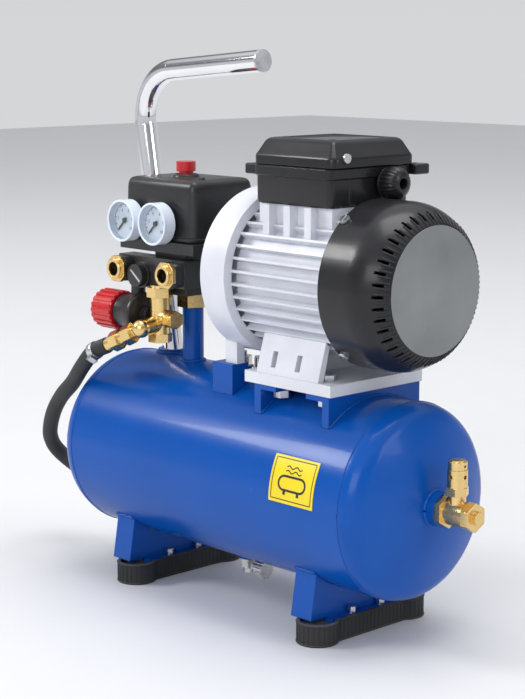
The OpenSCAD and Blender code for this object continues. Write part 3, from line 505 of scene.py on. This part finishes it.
def make_welds():
    """Beads at the end bosses, the sockets on top, the feet, the saddle's plates and the dome seams."""
    shape = bmesh.new()
    for x, radius in ((184.4, 13.2), (-184.4, 13.2)):
        path = [at(x, radius * math.cos(t), TANK_Z + radius * math.sin(t))
                for t in (2 * math.pi * k / 60 for k in range(60))]
        cord_of(shape, path, 1.7, closed=True, rough=0.18)
    for x, y, radius in ((-126.7, 14, 13.4), (-24, -3, 11.3), (-85, 0, 9.2)):
        path = [round_tank(x + radius * math.cos(t), y + radius * math.sin(t))
                for t in (2 * math.pi * k / 56 for k in range(56))]
        cord_of(shape, path, 1.5, closed=True, rough=0.2)
    for foot_x in FOOT_X:
        for side in (-1, 1):
            y = 51.5 * side
            z = TANK_Z - math.sqrt((TANK_R + 0.3) ** 2 - y * y)
            path = [at(foot_x - 20 + 21 * k / 14, y, z) for k in range(15)]
            cord_of(shape, path, 1.4, rough=0.25)
    for x in (42.1, 49.9, 114.6, 122.4):
        path = [round_tank(x, y) for y in (-49 + 98 * k / 60 for k in range(61))]
        cord_of(shape, path, 1.1, rough=0.25)
    seam_r = TANK_R - 0.25
    for x in (-155.5, 155.5):
        path = [at(x, seam_r * math.cos(t), TANK_Z + seam_r * math.sin(t))
                for t in (2 * math.pi * k / 180 for k in range(180))]
        cord_of(shape, path, 0.75, closed=True, rough=0.12)
    piece("weld_beads", shape, "blue_paint", sharp=80)


make_welds()


# ---------------------------------------------------------------- label

def make_label():
    """A dark frame and a small generic sign of an air tank, laid on the yellow label."""
    low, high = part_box("capacity_label")
    x0 = (low.x - CENTRE_X) * 1000
    x1 = (high.x - CENTRE_X) * 1000

    def on_label(x, angle):
        r = 75.57
        a = math.radians(angle)
        return at(x, -r * math.cos(a), TANK_Z + r * math.sin(a))

    def stroke(shape, points, width, shut=False):
        """A flat printed line through points given as (x, angle)."""
        mm = math.radians(1) * 75.5
        flat = [Vector((x, a * mm)) for x, a in points]
        count = len(flat)
        left, right = [], []
        for i, p in enumerate(flat):
            before = flat[(i - 1) % count] if shut else flat[max(i - 1, 0)]
            after = flat[(i + 1) % count] if shut else flat[min(i + 1, count - 1)]
            run = (after - before).normalized()
            off = Vector((-run.y, run.x)) * width / 2
            left.append(p + off)
            right.append(p - off)
        rows = [[shape.verts.new(on_label(q.x, q.y / mm)) for q in side] for side in (left, right)]
        for k in range(count if shut else count - 1):
            m = (k + 1) % count
            shape.faces.new((rows[0][k], rows[0][m], rows[1][m], rows[1][k]))

    def line(a, b, steps):
        """Evenly spaced points from a to b."""
        return [(a[0] + (b[0] - a[0]) * k / steps, a[1] + (b[1] - a[1]) * k / steps)
                for k in range(steps + 1)]

    shape = bmesh.new()
    l, r, b, t = x0 + 2.4, x1 - 2.4, 3.0, 26.4
    corners = [(l, b), (r, b), (r, t), (l, t)]
    for k in range(4):
        stroke(shape, line(corners[k], corners[(k + 1) % 4], 14), 0.7)
    # tank sign: a long round body on two feet, with a wave of air above it
    mid, middle = (x0 + x1) / 2, 12.6
    outline = []
    for side in (1, -1):
        for k in range(13):
            a = math.radians(-90 + 15 * k) if side == 1 else math.radians(90 + 15 * k)
            outline.append((mid + side * 8.5 + 5.2 * math.cos(a), middle + 3.95 * math.sin(a)))
    stroke(shape, outline, 1.7, shut=True)
    for x in (mid - 7, mid + 7):
        stroke(shape, line((x, middle - 4.4), (x, middle - 6.6), 4), 2.6)
    for lift in (0, 2.6):
        wave = [(mid - 8 + 16 * k / 24, middle + 6.6 + lift + 0.75 * math.sin(k / 24 * 4 * math.pi))
                for k in range(25)]
        stroke(shape, wave, 0.9)
    piece("label_print", shape, "needle_black")


make_label()


# ---------------------------------------------------------------- switch

SWITCH_TOP = 336.0
BUTTON = (-88, -4)


def make_switch():
    """The moulded cover of the pressure switch."""
    shape = bmesh.new()
    soft_box(shape, (-132.5, -45), (-34, 34), 7.5, [
        (286.2, 0.4), (286.8, 0), (289.6, 0), (290.0, 0.5), (290.4, 0.5), (290.8, 0.1), (326, 0.9),
        (329.6, 1.25), (331.8, 1.9), (333.6, 3.0), (334.9, 4.6), (335.7, 6.8), (SWITCH_TOP, 9.2),
    ])
    cross_head(shape, at(-58, -14, SWITCH_TOP), Z, 3.2)
    cross_head(shape, at(-120, 22, SWITCH_TOP), Z, 3.2)
    # round collar that guards the button
    turned(shape, at(*BUTTON, SWITCH_TOP - 0.4), Z, [
        (0, 8.6), (2.2, 8.6), (2.8, 9.0), (2.8, 9.8), (2.2, 10.6), (0, 11.4),
    ], closed=True)
    piece("switch_case", shape, "black_plastic", stands_for=["switch_cover"])


make_switch()


# ---------------------------------------------------------------- terminal box

def make_terminal_box():
    """The terminal box with its two corner lugs, and its sloping lid."""
    shape = bmesh.new()
    soft_box(shape, (35, 115), (-42, 42), 5, [
        (326.1, 1.2), (327.2, 0.3), (328.6, 0), (346.4, -0.2), (347, -1.5), (347.6, -2.0),
        (354, -2.0), (354.9, -1.2),
    ])
    for x, y in (((22, 40), (-41, -24)), ((105, 122), (42, 58))):
        soft_box(shape, x, y, 2.2, [(347, 0.8), (347.8, 0), (354, 0), (354.9, 0.9)])
    # ribs moulded down the end wall
    for y in (-22, 34):
        cuboid(shape, at(115.2, y, 337), (X, Y, Z), (1.0, 2.0, 18), 0.3)
    piece("terminal_case", shape, "gloss_black", stands_for=["terminal_box"])

    shape = bmesh.new()
    soft_box(shape, (34, 119.6), (-44, 44), 6.5, [
        (355.2, 0.8), (355.7, 0.1), (361.2, 0), (362.6, 0.5), (363.6, 1.4), (372.0, 6.2), (373.8, 7.6),
        (374.8, 9.4), (375.1, 11.6), (375.1, 13.0), (374.5, 13.7),
    ])
    for x, y in ((52, -27), (102, -27), (52, 27), (102, 27)):
        turned(shape, at(x, y, 374.3), Z, [
            (0, 3.4), (0.7, 3.4), (0.9, 3.1), (0.9, 2.3), (0.3, 2.1),
        ], steps=24)
    piece("terminal_cap", shape, "gloss_black", stands_for=["terminal_lid"])


make_terminal_box()


# ---------------------------------------------------------------- fan cowl

def make_cowl_details():
    """Ribs between the cowl's vents, and the round plate on its end."""
    low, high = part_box("cowl_disc")
    axis_y, axis_z = (low.y + high.y) / 2, (low.z + high.z) / 2
    cowl_low, cowl_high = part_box("fan_cowl")
    cowl_r = (cowl_high.y - cowl_low.y) / 2
    end_x, end_r = cowl_high.x, 0.048
    fall, drop = 0.031, cowl_r - end_r
    bend_r = (fall ** 2 + drop ** 2) / (2 * drop)

    def on_shoulder(back, a):
        """A point of the cowl's round shoulder: back metres behind its end, at angle a."""
        r = cowl_r - bend_r + math.sqrt(bend_r ** 2 - (fall - back) ** 2)
        return Vector((end_x - back, axis_y + r * math.cos(a), axis_z + r * math.sin(a)))

    shape = bmesh.new()
    ribs = 80
    for k in range(ribs):
        a = 2 * math.pi * (k + 0.5) / ribs
        path = [on_shoulder(back / 1000, a) for back in (0.5, 1.4, 2.6, 4.2, 6.2, 7.6)]
        cord_of(shape, path, 0.85)
    piece("vent_ribs", shape, "gloss_black", sharp=60)

    shape = bmesh.new()
    turned(shape, Vector((end_x, axis_y, axis_z)), X, [
        (-2.4, 45.4), (0.1, 45.4), (0.1, 47.4), (0.6, 47.7), (0.9, 47.5), (1.0, 47.0), (1.0, 0.4),
    ], steps=96)
    piece("disc_plate", shape, "grey_disc", stands_for=["cowl_disc"])


make_cowl_details()


GLAND_Y = 15.5
GLAND_Z = 342.3
GLAND_BORE = 4.1


def make_gland_cap():
    """The cable gland: a collar at the box and a fluted round cap with the cable's hole."""
    centre = at(116.6, GLAND_Y, GLAND_Z)
    shape = bmesh.new()
    turned(shape, at(109, GLAND_Y, GLAND_Z), X, [
        (0, GLAND_BORE), (0, 8), (7.8, 8), (7.8, GLAND_BORE),
    ], closed=True)
    flutes, flute_depth, steps = 24, 0.64, 144
    rings = []
    # distance along, radius, and how much of the flutes' depth there is
    for along, radius, share in (
        (0.0, GLAND_BORE, 0), (0.0, 10.6, 0), (0.9, 11.6, 0), (2.2, 11.9, 0), (2.5, 11.2, 0), (3.2, 11.3, 0),
        (3.8, 12.1, 1), (6.5, 12.5, 1), (10.0, 12.4, 1), (13.0, 11.7, 1), (15.0, 10.3, 0.6), (16.4, 8.2, 0),
        (17.2, 5.8, 0), (17.3, 4.6, 0), (17.0, GLAND_BORE, 0),
    ):
        ring = []
        for k in range(steps):
            a = 2 * math.pi * k / steps
            r = radius - share * flute_depth / 2 * (1 + math.cos(flutes * a))
            ring.append(centre + Vector((along, r * math.cos(a), r * math.sin(a))) / 1000)
        rings.append(ring)
    loft(shape, rings, closed=True)
    piece("gland_cap", shape, "gloss_black", sharp=30, stands_for=["cable_gland"])


make_gland_cap()


# ---------------------------------------------------------------- air fittings

def octagon_plate(shape, centre, half_x, half_z, cut, hole, thick):
    """A plate square to Y with cut corners and a round hole, in millimetres; centre is on its front face."""
    steps, rim, chamfer, swell = 96, 0.5, 0.12, 0.4
    front, edge, back, hole_back, hole_front = [], [], [], [], []
    for k in range(steps):
        a = 2 * math.pi * k / steps
        u, w = math.cos(a), math.sin(a)
        reach = min(half_x / max(abs(u), 1e-6), half_z / max(abs(w), 1e-6),
                    (half_x + half_z - cut) / (abs(u) + abs(w)))
        for ring, r, depth in (
            (front, reach - rim, 0),
            (edge, reach - rim + chamfer * rim + swell, chamfer * thick),
            (back, reach, thick),
            (hole_back, hole, thick),
            (hole_front, hole, 0),
        ):
            ring.append(centre + Vector((r * u, depth, r * w)) / 1000)
    loft(shape, [front, edge, back, hole_back, hole_front], closed=True)


OUTLET_X = (-124, -62.5)
OUTLET_Z = 261
OUTLET_BORE = 5.72


def make_couplers():
    """The two outlets: a brass plate with a short tube, on a black block."""
    shape = bmesh.new()
    for x in OUTLET_X:
        octagon_plate(shape, at(x, -50, OUTLET_Z), 10, 10.5, 5.0, 8.0, 3.6)
        # short tube that takes the plug of an air line
        turned(shape, at(x, -53, OUTLET_Z), Y, [
            (0.3, OUTLET_BORE), (0, 6.1), (0, 7.9), (0.4, 8.4), (1.1, 8.4), (1.3, 8.1), (6.4, 8.1),
            (6.4, OUTLET_BORE),
        ], steps=64, closed=True)
    piece("coupler_plates", shape, "brass", stands_for=["outlet_couplers"])

    shape = bmesh.new()
    for x in OUTLET_X:
        octagon_plate(shape, at(x, -46.3, OUTLET_Z), 9.4, 9.9, 2.5, 5.8, 8.0)
    piece("coupler_blocks", shape, "black_casting")


make_couplers()


def make_regulator_bell():
    """Outer shell of the regulator, from the knob's end to the bell beside the tee."""
    shape = bmesh.new()
    turned(shape, at(-129.8, -36, 224), X, [
        (0, 12.0), (0.2, 13.4), (1.0, 14.0), (3.0, 14.0), (3.4, 13.7), (9.0, 13.9), (15.0, 14.9),
        (19.0, 16.3), (21.5, 17.8), (22.5, 18.1), (25.0, 18.1), (25.8, 17.6), (26.2, 16.4), (26.4, 8.0),
    ], steps=72)
    piece("regulator_bell", shape, "black_plastic")


make_regulator_bell()


def make_slot_highlight():
    """A bright metal bar in the screwdriver slot of the manifold's plug, a painted highlight of the slot."""
    shape = bmesh.new()
    a = math.radians(38)
    along = Vector((math.cos(a), 0, -math.sin(a)))
    across = Vector((math.sin(a), 0, math.cos(a)))
    # painted highlight: a bright zinc bar laid across the plug makes its slot look lit
    cuboid(shape, at(-103.4, -45.7, 257), (along, Y, across), (14.6, 2.0, 2.2), 0)
    piece("plug_slot", shape, "zinc_steel")


make_slot_highlight()


# ---------------------------------------------------------------- gauges

GAUGES = (("left", -117), ("right", -78))
GAUGE_Z = 301
GAUGE_SWEEP = 270


def make_gauges():
    """Rims, ticks, numbers and a red band for both gauges."""
    low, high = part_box("gauge_cases")
    front = (low.y - CENTRE_Y) * 1000
    for name, x in GAUGES:
        shape = bmesh.new()
        # rolled rim in front of the lens
        turned(shape, at(x, front, GAUGE_Z), Y, [
            (0.3, 15.2), (-0.1, 15.7), (-0.1, 16.5), (0.5, 17.1), (1.6, 17.1), (1.9, 16.9), (1.9, 15.2),
        ], steps=72, closed=True)
        piece("gauge_rim_" + name, shape, "gauge_white")

        shape = bmesh.new()
        face = front + 5.9
        for k in range(51):
            a = math.radians(GAUGE_SWEEP * (k / 50 - 0.5))
            long = k % 5 == 0
            inner, outer = (11.3 if long else 12.5), 13.6
            ray = Vector((math.sin(a), 0, math.cos(a)))
            side = Vector((math.cos(a), 0, -math.sin(a)))
            middle = at(x, face, GAUGE_Z) + ray * (inner + outer) / 2000
            cuboid(shape, middle, (ray, side, Y), (outer - inner, 0.5 if long else 0.28, 0.08), 0)
        ring = [at(x + 13.7 * math.sin(a), face, GAUGE_Z + 13.7 * math.cos(a))
                for a in (math.radians(GAUGE_SWEEP * (k / 60 - 0.5)) for k in range(61))]
        cord_of(shape, ring, 0.12, sides=4)
        for k in range(6):
            a = math.radians(GAUGE_SWEEP * (k / 5 - 0.5))
            text = bpy.data.curves.new("dial_number", "FONT")
            text.body = str(2 * k)
            text.size = 0.0036
            text.align_x = text.align_y = "CENTER"
            holder = bpy.data.objects.new("dial_number", text)
            bpy.context.scene.collection.objects.link(holder)
            bpy.context.view_layer.update()
            flat = bpy.data.meshes.new_from_object(holder)
            bpy.data.objects.remove(holder)
            spot = at(x + 8.9 * math.sin(a), face - 0.05, GAUGE_Z + 8.9 * math.cos(a))
            flat.transform(Matrix.Translation(spot) @ Matrix.Rotation(math.radians(90), 4, "X"))
            shape.from_mesh(flat)
            bpy.data.meshes.remove(flat)
        piece("dial_print_" + name, shape, "needle_black")

        shape = bmesh.new()
        band_from, band_to, steps = 80, 135, 15
        inner, outer = [], []
        for k in range(steps + 1):
            a = math.radians(band_from + (band_to - band_from) * k / steps)
            for row, r in ((inner, 10.2), (outer, 11.0)):
                row.append(shape.verts.new(at(x + r * math.sin(a), face, GAUGE_Z + r * math.cos(a))))
        for k in range(steps):
            shape.faces.new((inner[k], inner[k + 1], outer[k + 1], outer[k]))
        piece("dial_band_" + name, shape, "red_plastic")


make_gauges()


# ---------------------------------------------------------------- rubber feet

def foot_path(foot_x, out):
    """Outline of a rubber foot, moved outwards by out."""
    lobe, bar = 15.7 + out, 11.5 + out
    meet = math.degrees(math.asin(bar / lobe))
    points = []
    for side in (1, -1):
        start = -90 + meet if side == 1 else 90 + meet
        sweep = 360 - 2 * meet
        for k in range(41):
            a = math.radians(start + sweep * k / 40)
            points.append((foot_x + lobe * math.cos(a), 48 * side + lobe * math.sin(a)))
    return points


def make_foot_details():
    """A rolled edge at the top and bottom of each rubber foot, and upright ribs between them."""
    shape = bmesh.new()
    for foot_x in FOOT_X:
        outline = foot_path(foot_x, 0.1)
        cord_of(shape, [at(x, y, 16.2) for x, y in outline], 0.75, closed=True)
        cord_of(shape, [at(x, y, 1.0) for x, y in outline], 0.7, closed=True)
        points = foot_path(foot_x, 0.0)
        gap = 0.0
        for (xa, ya), (xb, yb) in zip(points, points[1:] + points[:1]):
            run = math.hypot(xb - xa, yb - ya)
            while gap < run:
                t = gap / run
                x, y = xa + (xb - xa) * t, ya + (yb - ya) * t
                cord_of(shape, [at(x, y, 1.6), at(x, y, 6), at(x, y, 11), at(x, y, 15.6)], 0.42, sides=6)
                gap += 4.2
            gap -= run
    piece("foot_ribs", shape, "black_rubber", sharp=60)


make_foot_details()
